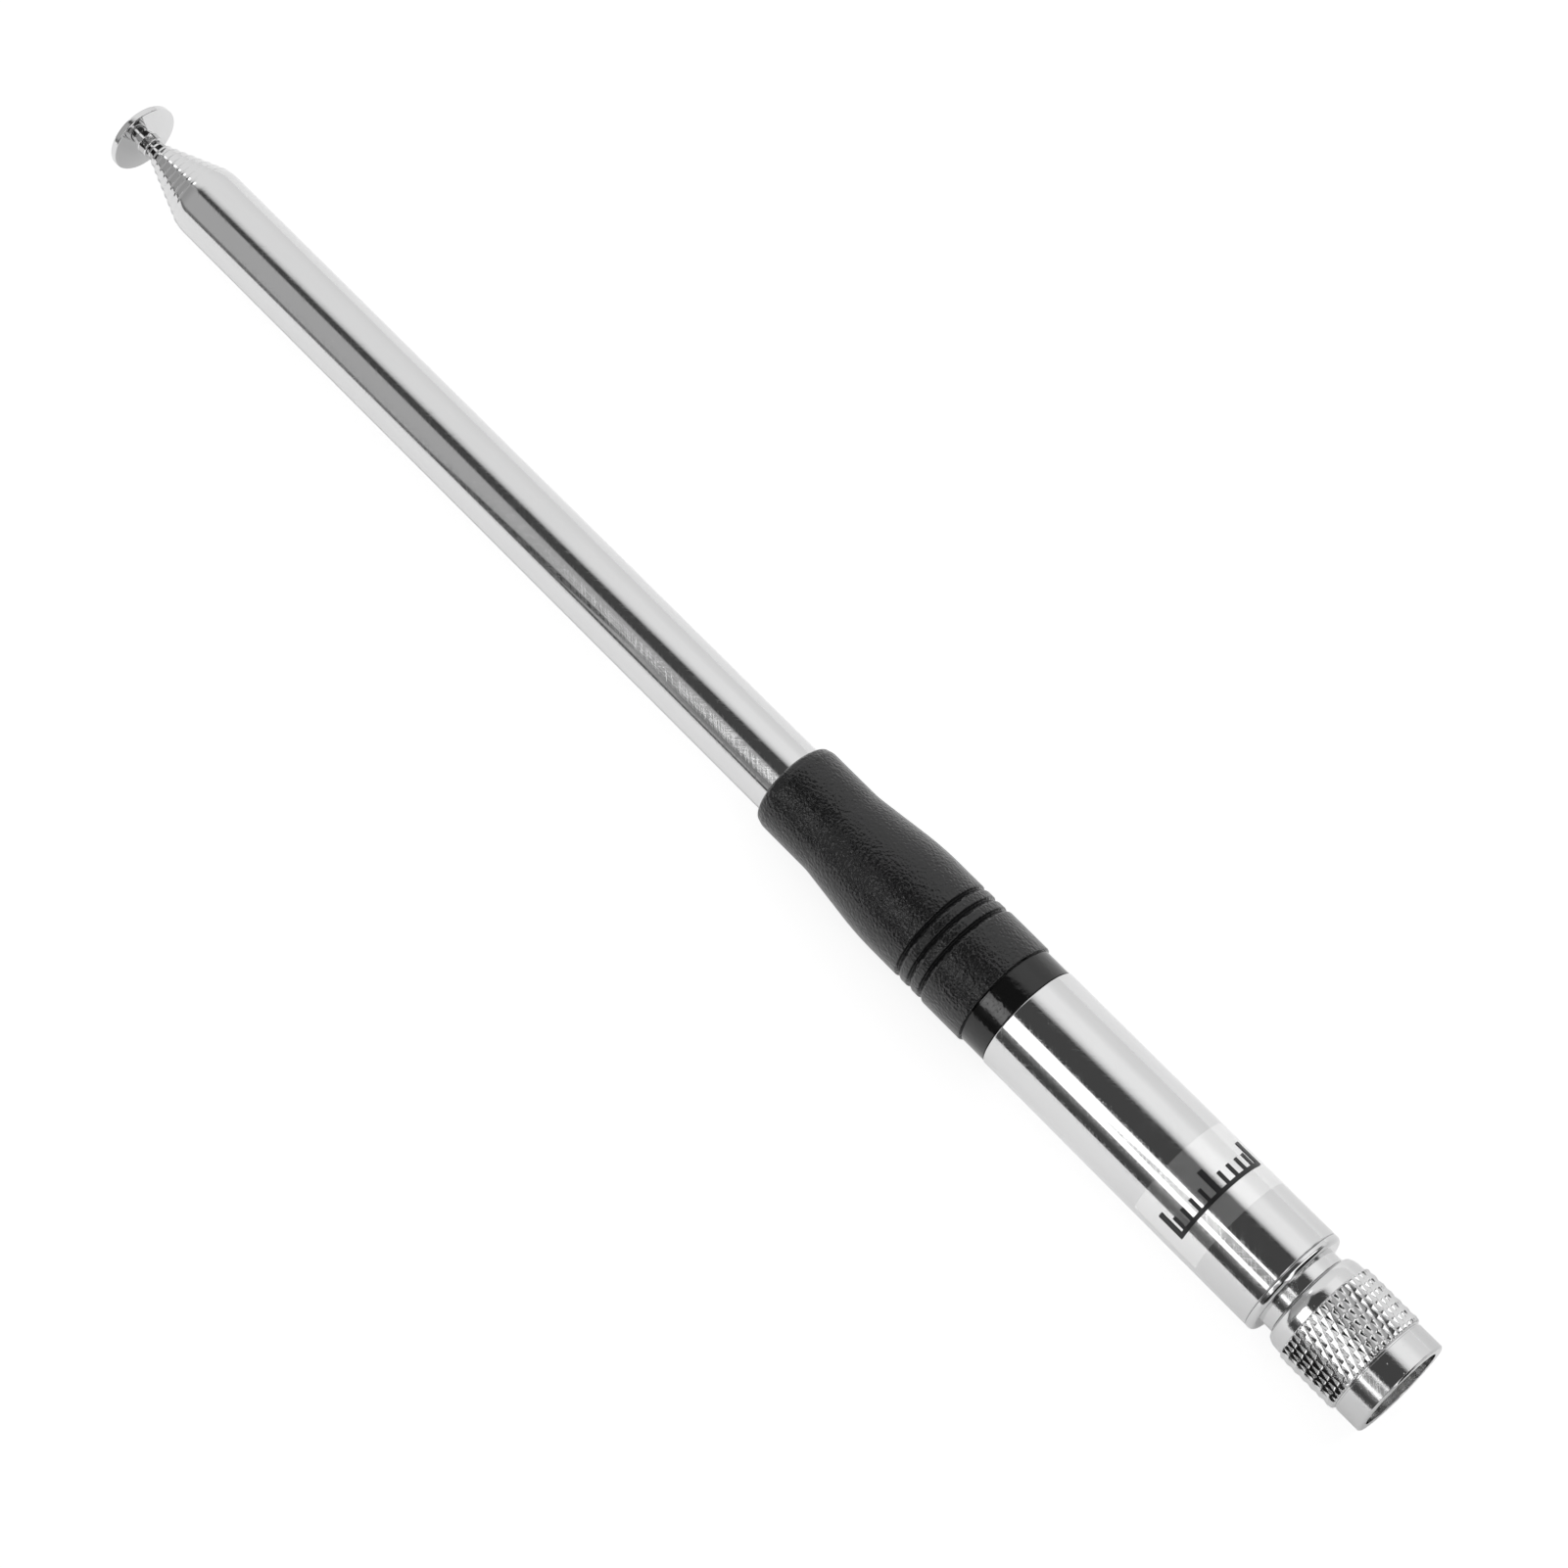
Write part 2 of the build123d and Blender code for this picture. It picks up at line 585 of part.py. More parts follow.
write("mast_section_1", outermost_section())
for number in range(2, SECTION_COUNT):
    write(f"mast_section_{number}", sliding_section(number))
write(f"mast_section_{SECTION_COUNT}", innermost_section())
for number in range(2, SECTION_COUNT + 1):
    write(f"section_{number}_spring", section_spring(number))
    print(f"section {number}: radius {section_radius(number):.4f}, travel {travel(number):.3f}")
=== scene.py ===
import math

import bmesh
import bpy
from mathutils import Matrix, Vector


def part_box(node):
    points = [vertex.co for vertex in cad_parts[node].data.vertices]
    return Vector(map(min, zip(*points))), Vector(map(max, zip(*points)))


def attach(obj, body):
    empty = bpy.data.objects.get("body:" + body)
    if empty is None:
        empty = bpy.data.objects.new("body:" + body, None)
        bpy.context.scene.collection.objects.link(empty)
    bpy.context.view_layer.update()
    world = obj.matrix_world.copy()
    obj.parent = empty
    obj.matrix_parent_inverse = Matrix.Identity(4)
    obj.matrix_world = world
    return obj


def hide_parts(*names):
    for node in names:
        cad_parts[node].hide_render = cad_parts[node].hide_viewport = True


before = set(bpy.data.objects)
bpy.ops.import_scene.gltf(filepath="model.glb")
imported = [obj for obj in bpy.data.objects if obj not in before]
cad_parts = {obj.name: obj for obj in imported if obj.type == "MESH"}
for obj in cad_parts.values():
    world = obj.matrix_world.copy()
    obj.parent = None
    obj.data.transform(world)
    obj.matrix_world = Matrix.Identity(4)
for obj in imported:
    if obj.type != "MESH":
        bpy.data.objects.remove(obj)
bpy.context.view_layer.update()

MM = 0.001               # metres in a millimetre. The sizes below are in millimetres.


def span(node):
    """Lowest and highest x of a CAD node, in millimetres."""
    lowest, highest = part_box(node)
    return round(lowest.x / MM, 3), round(highest.x / MM, 3)


# Stations along the antenna, read from the CAD

NUT_START, NUT_END = span("coupling_nut")
PLUG_START, PLUG_END = span("plug_body")
INSULATOR_START, INSULATOR_END = span("plug_insulator")
PIN_START, PIN_END = span("centre_pin")
CAP_START, CAP_END = span("base_cap")
TUBE_START, TUBE_END = span("base_tube")
FILM_START, FILM_END = span("label_film")
COLLAR_START, COLLAR_END = span("insulator_collar")
SLEEVE_START, SLEEVE_END = span("grip_sleeve")
MAST_START = span("mast_section_1")[0]
SECTION_START = span("mast_section_2")[0]
BUTTON_START, BUTTON_END = span("tip_button")

# Radii and lengths, as in the CAD's source

TUBE_R, TUBE_BORE_R = 7.35, 6.65
NECK_R, HUB_R, CONTACT_R = 5.75, 4.5, 4.05
HUB_END = 12.9           # the neck starts here, just behind the nut
SEAT = 0.02              # clearance of the fixed fits
FILM_CORNER = 1.2
FILM_IN, FILM_OUT = 7.36, 7.44
FILM_FROM, FILM_WRAP = 6.0, 300.0     # in degrees
COLLAR_R, SLEEVE_BORE_R = 7.23, 6.0
SLEEVE_LOW_R, SLEEVE_WAIST_R, SLEEVE_TOP_R = 7.52, 7.42, 6.2
GROOVE_SETBACK, GROOVE_PITCH, GROOVE_DEPTH = 6.85, 1.9, 0.5
TAPER_START, TAPER_LENGTH = 18.0, 10.1
RIM_R, RIM_LENGTH, MOUTH_R = 6.8, 3.8, 5.6
KNURL_R, KNURL_LENGTH = 7.2, 8.6
THREAD_R, THREAD_PITCH, THREAD_DEPTH, THREAD_END = 5.15, 0.907, 0.42, 5.7
SECTIONS, WALL, PLAY = 10, 0.2, 0.05
SECTION_1_R, SECTION_STEP_R = 5.0, 0.4375
BUTTON_R, BUTTON_HUB_R = 4.9, 1.6

NUT_SIDES = TUBE_SIDES = 256

# Shader nodes

def new_material(name):
    """Material with a principled shader, and its node tree."""
    material = bpy.data.materials.new(name)
    material.use_nodes = True
    return material, material.node_tree


def shader_of(tree):
    return tree.nodes["Principled BSDF"]


def set_inputs(node, **values):
    for key, value in values.items():
        node.inputs[key.replace("_", " ")].default_value = value


def add(tree, kind, **properties):
    node = tree.nodes.new(kind)
    for key, value in properties.items():
        setattr(node, key, value)
    return node


def maths(tree, operation, first, second=None, clamp=False):
    """Math node on sockets or numbers."""
    node = add(tree, "ShaderNodeMath", operation=operation, use_clamp=clamp)
    for index, value in enumerate((first, second)):
        if value is None:
            continue
        if isinstance(value, (int, float)):
            node.inputs[index].default_value = value
        else:
            tree.links.new(value, node.inputs[index])
    return node.outputs[0]


def unrolled(tree):
    """The surface rolled out flat: along the axis, round the axis and out from it, in millimetres."""
    place = add(tree, "ShaderNodeTexCoord")
    parts = add(tree, "ShaderNodeSeparateXYZ")
    tree.links.new(place.outputs["Object"], parts.inputs[0])
    x, y, z = (maths(tree, "MULTIPLY", parts.outputs[i], 1 / MM) for i in range(3))
    angle = maths(tree, "ARCTAN2", y, z)
    squares = [maths(tree, "MULTIPLY", value, value) for value in (y, z)]
    radius = maths(tree, "SQRT", maths(tree, "ADD", *squares))
    joined = add(tree, "ShaderNodeCombineXYZ")
    tree.links.new(x, joined.inputs[0])
    tree.links.new(maths(tree, "MULTIPLY", angle, radius), joined.inputs[1])
    tree.links.new(radius, joined.inputs[2])
    return joined.outputs[0]


def in_mm(tree):
    """The place on the object in millimetres."""
    place = add(tree, "ShaderNodeTexCoord")
    scale = add(tree, "ShaderNodeVectorMath", operation="SCALE")
    scale.inputs["Scale"].default_value = 1 / MM
    tree.links.new(place.outputs["Object"], scale.inputs[0])
    return scale.outputs[0]


def stretched(tree, vector, scale, turn_deg=0):
    """Vector turned in the surface and then scaled along each axis."""
    turn = add(tree, "ShaderNodeMapping", vector_type="POINT")
    turn.inputs["Rotation"].default_value = (0, 0, math.radians(turn_deg))
    tree.links.new(vector, turn.inputs["Vector"])
    size = add(tree, "ShaderNodeMapping", vector_type="POINT")
    size.inputs["Scale"].default_value = scale
    tree.links.new(turn.outputs[0], size.inputs["Vector"])
    return size.outputs[0]


def noise(tree, vector, scale, detail=2.0, roughness=0.5, distortion=0.0):
    node = add(tree, "ShaderNodeTexNoise")
    set_inputs(node, Scale=scale, Detail=detail, Roughness=roughness, Distortion=distortion)
    tree.links.new(vector, node.inputs["Vector"])
    return node.outputs["Fac"]


def band(tree, value, low, high, to_low=0.0, to_high=1.0):
    """Maps low..high of a value to to_low..to_high, held at the ends."""
    node = add(tree, "ShaderNodeMapRange")
    set_inputs(node, **{"From_Min": low, "From_Max": high, "To_Min": to_low, "To_Max": to_high})
    tree.links.new(value, node.inputs["Value"])
    return node.outputs[0]


def mixed(tree, factor, first, second):
    """Goes from first to second, which are sockets or numbers."""
    mix = add(tree, "ShaderNodeMix", data_type="FLOAT")
    tree.links.new(factor, mix.inputs[0])
    for index, value in ((2, first), (3, second)):
        if isinstance(value, (int, float)):
            mix.inputs[index].default_value = value
        else:
            tree.links.new(value, mix.inputs[index])
    return mix.outputs[0]


def ramp(tree, value, stops):
    node = add(tree, "ShaderNodeValToRGB")
    element = node.color_ramp.elements
    while len(element) < len(stops):
        element.new(0.5)
    for one, (place, colour) in zip(element, stops):
        one.position = place
    for one, (place, colour) in zip(element, stops):
        one.color = (*colour, 1.0) if isinstance(colour, tuple) else (colour, colour, colour, 1.0)
    tree.links.new(value, node.inputs[0])
    return node.outputs[0]


def bump(tree, height, distance_mm, under=None):
    node = add(tree, "ShaderNodeBump")
    set_inputs(node, Distance=distance_mm * MM, Strength=1.0)
    tree.links.new(height, node.inputs["Height"])
    if under is not None:
        tree.links.new(under, node.inputs["Normal"])
    return node.outputs[0]


def scratches(tree, flat, turn_deg, density, length_mm, width_mm):
    """Fine straight scratches in one direction: 1 on a scratch, 0 beside it."""
    lines = noise(tree, stretched(tree, flat, (1 / length_mm, 1 / width_mm, 0.0), turn_deg), 1.0, 1.0)
    return band(tree, lines, density, density + 0.03)


# Materials

CHROME_TINT = (0.68, 0.68, 0.682)
FILMED_TINT = (0.85, 0.85, 0.85)
SCRATCH_DEPTH = 0.0006


def under_film(tree, flat):
    """1 where the label film covers the base tube, 0 elsewhere."""
    parts = add(tree, "ShaderNodeSeparateXYZ")
    tree.links.new(flat, parts.inputs[0])
    x, arc, radius = parts.outputs
    along = maths(tree, "COMPARE", x, (FILM_START + FILM_END) / 2)
    along.node.inputs[2].default_value = (FILM_END - FILM_START) / 2
    middle = math.radians(90 - FILM_FROM - FILM_WRAP / 2)
    across = maths(tree, "COMPARE", maths(tree, "DIVIDE", arc, radius), middle)
    across.node.inputs[2].default_value = math.radians(FILM_WRAP / 2)
    return maths(tree, "MULTIPLY", along, across)


def chrome(name, tint, rough, scratch_rough, pits, wave, peel, film_tint=None):
    """Bright plating: slow waves, fine peel, crossed scratches, smudges and a few pits."""
    material, tree = new_material(name)
    flat = unrolled(tree)
    solid = in_mm(tree)
    shader = shader_of(tree)
    set_inputs(shader, Metallic=1.0)
    smudge = noise(tree, stretched(tree, flat, (0.12, 0.35, 0.2)), 1.0, 5.0, 0.6, 0.4)
    cloud = ramp(tree, smudge, [(0.3, tuple(c * 0.985 for c in tint)), (0.62, tint)])
    if film_tint:
        mix = add(tree, "ShaderNodeMix", data_type="RGBA")
        tree.links.new(under_film(tree, flat), mix.inputs["Factor"])
        tree.links.new(cloud, mix.inputs["A"])
        mix.inputs["B"].default_value = (*film_tint, 1.0)
        cloud = mix.outputs["Result"]
    tree.links.new(cloud, shader.inputs["Base Color"])
    first = scratches(tree, flat, 42, 0.62, 6.0, 0.05)
    second = scratches(tree, flat, -38, 0.64, 5.0, 0.045)
    crossed = maths(tree, "MAXIMUM", first, second)
    patches = band(tree, noise(tree, flat, 0.22, 2.0), 0.46, 0.6)
    worn = maths(tree, "MULTIPLY", crossed, patches)
    base_rough = band(tree, smudge, 0.35, 0.7, rough, rough * 1.9)
    rough_here = maths(tree, "ADD", base_rough, maths(tree, "MULTIPLY", worn, scratch_rough))
    tree.links.new(rough_here, shader.inputs["Roughness"])
    slow = noise(tree, stretched(tree, flat, (0.05, 0.5, 0.3)), 1.0, 2.0)
    waves = bump(tree, slow, wave)
    peeled = bump(tree, noise(tree, solid, 5.0, 3.0, 0.6), peel, waves)
    fine = bump(tree, crossed, SCRATCH_DEPTH, peeled)
    specks = add(tree, "ShaderNodeTexVoronoi")
    set_inputs(specks, Scale=1.3)
    tree.links.new(solid, specks.inputs["Vector"])
    pit = band(tree, specks.outputs["Distance"], 0.03, 0.09)
    tree.links.new(bump(tree, pit, pits, fine), shader.inputs["Normal"])
    return material


def black_plastic(name, colour, rough, grain_mm, grain_depth):
    """Moulded black plastic with a fine grain, rubbed a little smoother in places."""
    material, tree = new_material(name)
    solid = in_mm(tree)
    shader = shader_of(tree)
    set_inputs(shader, Base_Color=(*colour, 1.0), IOR=1.5)
    grain = noise(tree, solid, 1 / grain_mm, 1.5, 0.5)
    cells = add(tree, "ShaderNodeTexVoronoi", feature="SMOOTH_F1")
    set_inputs(cells, Scale=0.8 / grain_mm, Smoothness=0.4)
    tree.links.new(solid, cells.inputs["Vector"])
    relief = maths(tree, "ADD", grain, maths(tree, "MULTIPLY", cells.outputs["Distance"], 0.5))
    rubbed = noise(tree, solid, 0.35, 4.0, 0.6)
    tree.links.new(band(tree, rubbed, 0.35, 0.7, rough * 0.86, rough * 1.15), shader.inputs["Roughness"])
    tree.links.new(bump(tree, relief, grain_depth), shader.inputs["Normal"])
    return material


def plain_metal(name, colour, rough, line_mm, depth):
    """Turned metal: fine rings round the axis, a little uneven in tone."""
    material, tree = new_material(name)
    flat = unrolled(tree)
    shader = shader_of(tree)
    set_inputs(shader, Metallic=1.0)
    tone = noise(tree, in_mm(tree), 0.8, 4.0)
    darker = tuple(c * 0.85 for c in colour)
    tree.links.new(ramp(tree, tone, [(0.3, darker), (0.7, colour)]), shader.inputs["Base Color"])
    rings = noise(tree, stretched(tree, flat, (1 / line_mm, 0.05, 0.05)), 1.0, 2.0)
    tree.links.new(band(tree, tone, 0.3, 0.7, rough * 1.3, rough), shader.inputs["Roughness"])
    tree.links.new(bump(tree, rings, depth), shader.inputs["Normal"])
    return material


def plain_plastic(name, colour, rough, grain_mm=0.3, depth=0.01):
    material, tree = new_material(name)
    solid = in_mm(tree)
    shader = shader_of(tree)
    tone = noise(tree, solid, 0.6, 4.0)
    darker = tuple(c * 0.9 for c in colour)
    tree.links.new(ramp(tree, tone, [(0.3, darker), (0.7, colour)]), shader.inputs["Base Color"])
    tree.links.new(band(tree, tone, 0.3, 0.7, rough * 1.1, rough * 0.9), shader.inputs["Roughness"])
    tree.links.new(bump(tree, noise(tree, solid, 1 / grain_mm, 3.0), depth), shader.inputs["Normal"])
    return material


def film_material():
    """Clear film: lets most light through, with a faint haze and a gloss of its own."""
    material, tree = new_material("clear_film")
    solid = in_mm(tree)
    shader = shader_of(tree)
    set_inputs(shader, Base_Color=(0.95, 0.95, 0.95, 1.0), IOR=1.45, Alpha=0.045)
    smudge = noise(tree, solid, 0.5, 5.0, 0.6)
    tree.links.new(band(tree, smudge, 0.3, 0.7, 0.1, 0.2), shader.inputs["Roughness"])
    tree.links.new(bump(tree, noise(tree, solid, 0.9, 2.0), 0.012), shader.inputs["Normal"])
    return material


tube_chrome = chrome("tube_chrome", CHROME_TINT, 0.02, 0.16, 0.004, 0.006, 0.0008, FILMED_TINT)
whip_chrome = chrome("whip_chrome", CHROME_TINT, 0.022, 0.12, 0.003, 0.008, 0.0006)
nut_chrome = chrome("nut_chrome", CHROME_TINT, 0.04, 0.2, 0.012, 0.004, 0.006)
grip_black = black_plastic("grip_black", (0.0085, 0.0085, 0.009), 0.2, 0.36, 0.11)
collar_black = black_plastic("collar_black", (0.006, 0.006, 0.006), 0.1, 0.6, 0.02)
ink_black = plain_plastic("ink_black", (0.012, 0.012, 0.013), 0.35, 0.1, 0.002)
clear_film = film_material()
brass = plain_metal("brass", (0.76, 0.60, 0.33), 0.25, 0.12, 0.004)
gold = plain_metal("gold", (0.86, 0.66, 0.30), 0.2, 0.1, 0.002)
tinned = plain_metal("tinned", (0.66, 0.66, 0.64), 0.35, 0.3, 0.006)
copper = plain_metal("copper", (0.60, 0.24, 0.11), 0.3, 0.2, 0.003)
insulator_white = plain_plastic("insulator_white", (0.80, 0.80, 0.77), 0.45)
former_brown = plain_plastic("former_brown", (0.42, 0.34, 0.24), 0.55)
seal_black = plain_plastic("seal_black", (0.02, 0.02, 0.02), 0.6)


# Meshes

def rounded(outline, closed=True, arc_steps=6):
    """Outline of (x, r) or (x, r, fillet) points with its fillets worked out, in millimetres."""
    result = []
    count = len(outline)
    for index, point in enumerate(outline):
        here = Vector(point[:2])
        fillet = point[2] if len(point) == 3 else 0
        at_end = not closed and index in (0, count - 1)
        if not fillet or at_end:
            result.append((here.x, here.y))
            continue
        back = (Vector(outline[index - 1][:2]) - here).normalized()
        ahead = (Vector(outline[(index + 1) % count][:2]) - here).normalized()
        half = back.angle(ahead) / 2
        centre = here + (back + ahead).normalized() * fillet / math.sin(half)
        first = here + back * fillet / math.tan(half) - centre
        last = here + ahead * fillet / math.tan(half) - centre
        sweep = first.angle_signed(last)
        for step in range(arc_steps + 1):
            turn = Matrix.Rotation(-sweep * step / arc_steps, 2)
            place = centre + turn @ first
            result.append((place.x, place.y))
    return result


def supported(outline, closed=True, near=0.05):
    """Outline with a point close to both ends of each long wall, so that the wall is shaded straight."""
    result = []
    ends = outline[1:] + outline[:1] if closed else outline[1:]
    for start, end in zip(outline, ends):
        result.append(start)
        first, last = Vector(start), Vector(end)
        if (last - first).length > 10 * near:
            step = (last - first).normalized() * near
            result += [tuple(first + step), tuple(last - step)]
    if not closed:
        result.append(outline[-1])
    return result


def revolve_into(mesh, outline, sides, closed=True):
    """Adds the outline turned about X to a bmesh."""
    rings = []
    for x, r in outline:
        if r < 1e-6:
            rings.append([mesh.verts.new((x * MM, 0, 0))] * sides)
            continue
        ring = []
        for side in range(sides):
            angle = 2 * math.pi * side / sides
            ring.append(mesh.verts.new((x * MM, r * math.cos(angle) * MM, r * math.sin(angle) * MM)))
        rings.append(ring)
    pairs = list(zip(rings, rings[1:]))
    if closed:
        pairs.append((rings[-1], rings[0]))
    for first, second in pairs:
        for side in range(sides):
            ahead = (side + 1) % sides
            corners = (first[side], first[ahead], second[ahead], second[side])
            distinct = list(dict.fromkeys(corners))
            if len(distinct) > 2:
                mesh.faces.new(distinct)


def make_piece(name, mesh, body, material, nodes, sharp_deg=32):
    """Finishes a bmesh as a piece that rides on a body and stands for CAD nodes."""
    bmesh.ops.recalc_face_normals(mesh, faces=mesh.faces)
    data = bpy.data.meshes.new(name)
    mesh.to_mesh(data)
    mesh.free()
    data.materials.append(material)
    data.shade_smooth()
    data.set_sharp_from_angle(angle=math.radians(sharp_deg))
    piece = bpy.data.objects.new(name, data)
    bpy.context.scene.collection.objects.link(piece)
    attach(piece, body)
    if nodes:
        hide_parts(*nodes)
    return piece


def lathe(name, outline, body, material, nodes, sides=TUBE_SIDES):
    mesh = bmesh.new()
    revolve_into(mesh, supported(rounded(outline)), sides)
    return make_piece(name, mesh, body, material, nodes)


# Plug, base and grip

lathe("plug_body_turned", [
    (PLUG_START, 3.68), (PLUG_START, 3.95, 0.05), (0.15, CONTACT_R, 0.05), (6.15, CONTACT_R), (6.15, 3.85),
    (7.4, 3.85), (7.4, HUB_R, 0.06), (9.7, HUB_R), (9.7, 4.1), (10.7, 4.1), (10.7, HUB_R), (HUB_END, HUB_R),
    (HUB_END, NECK_R, 0.12), (CAP_START, NECK_R), (CAP_START, 4.9), (PLUG_END, 4.9), (PLUG_END, 3.5),
    (0.18, 3.5),
], "base", nut_chrome, ["plug_body"])
lathe("plug_insulator_turned", [
    (INSULATOR_START, 2.5, 0.05), (INSULATOR_START, 3.48, 0.05), (INSULATOR_END, 3.48), (INSULATOR_END, 1.02),
    (5.3, 1.02), (5.3, 2.5),
], "base", insulator_white, ["plug_insulator"], 96)
lathe("centre_pin_turned", [
    (PIN_START, 0), (PIN_START, 0.685, 0.55), (5.3, 0.685), (5.3, 1.0), (PIN_END, 1.0), (PIN_END, 0.45),
    (16.4, 0.45), (16.4, 0),
], "base", gold, ["centre_pin"], 64)
lathe("base_cap_turned", [
    (CAP_START, 4.92), (CAP_START, TUBE_R, 0.6), (TUBE_START - 0.12, TUBE_R, 0.03),
    (TUBE_START, TUBE_R - 0.14), (TUBE_START, TUBE_BORE_R - SEAT), (CAP_END, TUBE_BORE_R - SEAT),
    (CAP_END, 4.92),
], "base", tube_chrome, ["base_cap"])
lathe("base_tube_turned", [
    (TUBE_START, TUBE_BORE_R), (TUBE_START, TUBE_R, 0.13), (TUBE_END, TUBE_R, 0.13), (TUBE_END, TUBE_BORE_R),
], "base", tube_chrome, ["base_tube"])
lathe("collar_turned", [
    (COLLAR_START, 2.02), (COLLAR_START, TUBE_BORE_R - SEAT), (TUBE_END, TUBE_BORE_R - SEAT),
    (TUBE_END, 6.95), (TUBE_END + 0.1, 6.95), (TUBE_END + 0.12, COLLAR_R, 0.02),
    (SLEEVE_START - 0.3, COLLAR_R, 0.02), (SLEEVE_START - 0.26, 6.95), (SLEEVE_START, 6.95),
    (SLEEVE_START, SLEEVE_BORE_R), (COLLAR_END, SLEEVE_BORE_R), (COLLAR_END, 4.22),
    (COLLAR_START + 3.0, 4.22), (COLLAR_START + 3.0, 2.02),
], "base", collar_black, ["insulator_collar"])


def sleeve_outline():
    """Grip sleeve with three grooves, each gentle on the plug's side and steep on the tip's side."""
    outline = [(SLEEVE_START, SLEEVE_BORE_R + SEAT), (SLEEVE_START, SLEEVE_LOW_R, 0.16)]
    for groove in range(3):
        centre = SLEEVE_START + GROOVE_SETBACK + GROOVE_PITCH * groove
        outline.append((centre - 0.5, SLEEVE_WAIST_R if groove else SLEEVE_LOW_R, 0.4))
        outline.append((centre + 0.26, SLEEVE_WAIST_R - GROOVE_DEPTH, 0.04))
        outline.append((centre + 0.4, SLEEVE_WAIST_R, 0.13))
    taper = SLEEVE_START + TAPER_START
    outline += [
        (taper, SLEEVE_WAIST_R, 45.0), (taper + TAPER_LENGTH, SLEEVE_TOP_R, 10.0),
        (SLEEVE_END - 1.36, SLEEVE_TOP_R, 1.77), (SLEEVE_END - 0.35, 5.905, 0.55), (SLEEVE_END, 5.26),
        (SLEEVE_END, SECTION_1_R + SEAT), (COLLAR_END, SECTION_1_R + SEAT),
        (COLLAR_END, SLEEVE_BORE_R + SEAT),
    ]
    return outline


lathe("grip_sleeve_moulded", sleeve_outline(), "base", grip_black, ["grip_sleeve"])


# Coupling nut

KNURL_START = NUT_START + RIM_LENGTH
KNURL_END = KNURL_START + KNURL_LENGTH
STARTS = 46              # grooves in each of the two families
KNURL_PITCH = 2.56       # length of a diamond
SHIFT = 0.4              # where the first diamond starts before the knurl
CELL = 12                # mesh steps from groove to groove
FINE_DEPTH, FINE_SHARE = 0.21, 0.42       # depth of a groove, and half its width as a share of the spacing
BOLD_DEPTH, BOLD_SHARE = 0.3, 0.48
CHAMFER_SLOPE = 1.6
SHOULDER_R = KNURL_R - 0.35
RIM_NECK_R = RIM_R - 0.12
MOUTH_END = NUT_START + 1.0


def knurl_radius(u, v, x):
    """Two crossing families of V grooves with narrow lands between them, cut off by chamfers at the ends."""
    fine = FINE_DEPTH * max(0.0, 1 - abs(u - round(u)) / FINE_SHARE)
    bold = BOLD_DEPTH * max(0.0, 1 - abs(v - round(v)) / BOLD_SHARE)
    from_start = RIM_NECK_R + (x - KNURL_START) * CHAMFER_SLOPE
    from_end = SHOULDER_R + (KNURL_END - x) * CHAMFER_SLOPE
    return min(KNURL_R - max(fine, bold), from_start, from_end)


def knurl_into(mesh):
    """Diamond knurl, with the mesh lines along the grooves."""
    turn = STARTS * CELL
    reach = math.ceil((KNURL_END - KNURL_START) * 2 / KNURL_PITCH * CELL) + CELL
    made = {}

    def vertex(i, j):
        while i + j >= 2 * turn:
            i, j = i - turn, j - turn
        while i + j < 0:
            i, j = i + turn, j + turn
        if (i, j) not in made:
            u, v = i / CELL, j / CELL
            x = KNURL_START + (u - v) * KNURL_PITCH / 2 - SHIFT
            angle = 2 * math.pi * (u + v) / (2 * STARTS)
            r = knurl_radius(u, v, x)
            made[i, j] = mesh.verts.new((x * MM, r * math.cos(angle) * MM, r * math.sin(angle) * MM))
        return made[i, j]

    for total in range(2 * turn):
        for difference in range(0, reach + 1):
            if (total + difference) % 2:
                continue
            i, j = (total + difference) // 2, (total - difference) // 2
            mesh.faces.new((vertex(i, j), vertex(i + 1, j), vertex(i + 1, j + 1), vertex(i, j + 1)))
    for x, side in ((KNURL_START, -1), (KNURL_END, 1)):
        everything = mesh.verts[:] + mesh.edges[:] + mesh.faces[:]
        bmesh.ops.bisect_plane(
            mesh, geom=everything, plane_co=(x * MM, 0, 0), plane_no=(side, 0, 0), clear_outer=True)


def thread_into(mesh, start, end, sides=128, rows_per_turn=10):
    """Inside thread, right-handed, that runs out at both ends."""
    rows = round((end - start) / THREAD_PITCH * rows_per_turn)
    rings = []
    for row in range(rows + 1):
        x = start + (end - start) * row / rows
        fade = min(1.0, (x - start) / 0.4, (end - x) / 0.4)
        ring = []
        for side in range(sides):
            angle = 2 * math.pi * side / sides
            phase = (x / THREAD_PITCH - side / sides) % 1
            cut = min(1.0, 1.25 * (1 - abs(2 * phase - 1)))
            r = THREAD_R + THREAD_DEPTH * cut * fade
            ring.append(mesh.verts.new((x * MM, r * math.cos(angle) * MM, r * math.sin(angle) * MM)))
        rings.append(ring)
    for first, second in zip(rings, rings[1:]):
        for side in range(sides):
            ahead = (side + 1) % sides
            mesh.faces.new((first[side], first[ahead], second[ahead], second[side]))


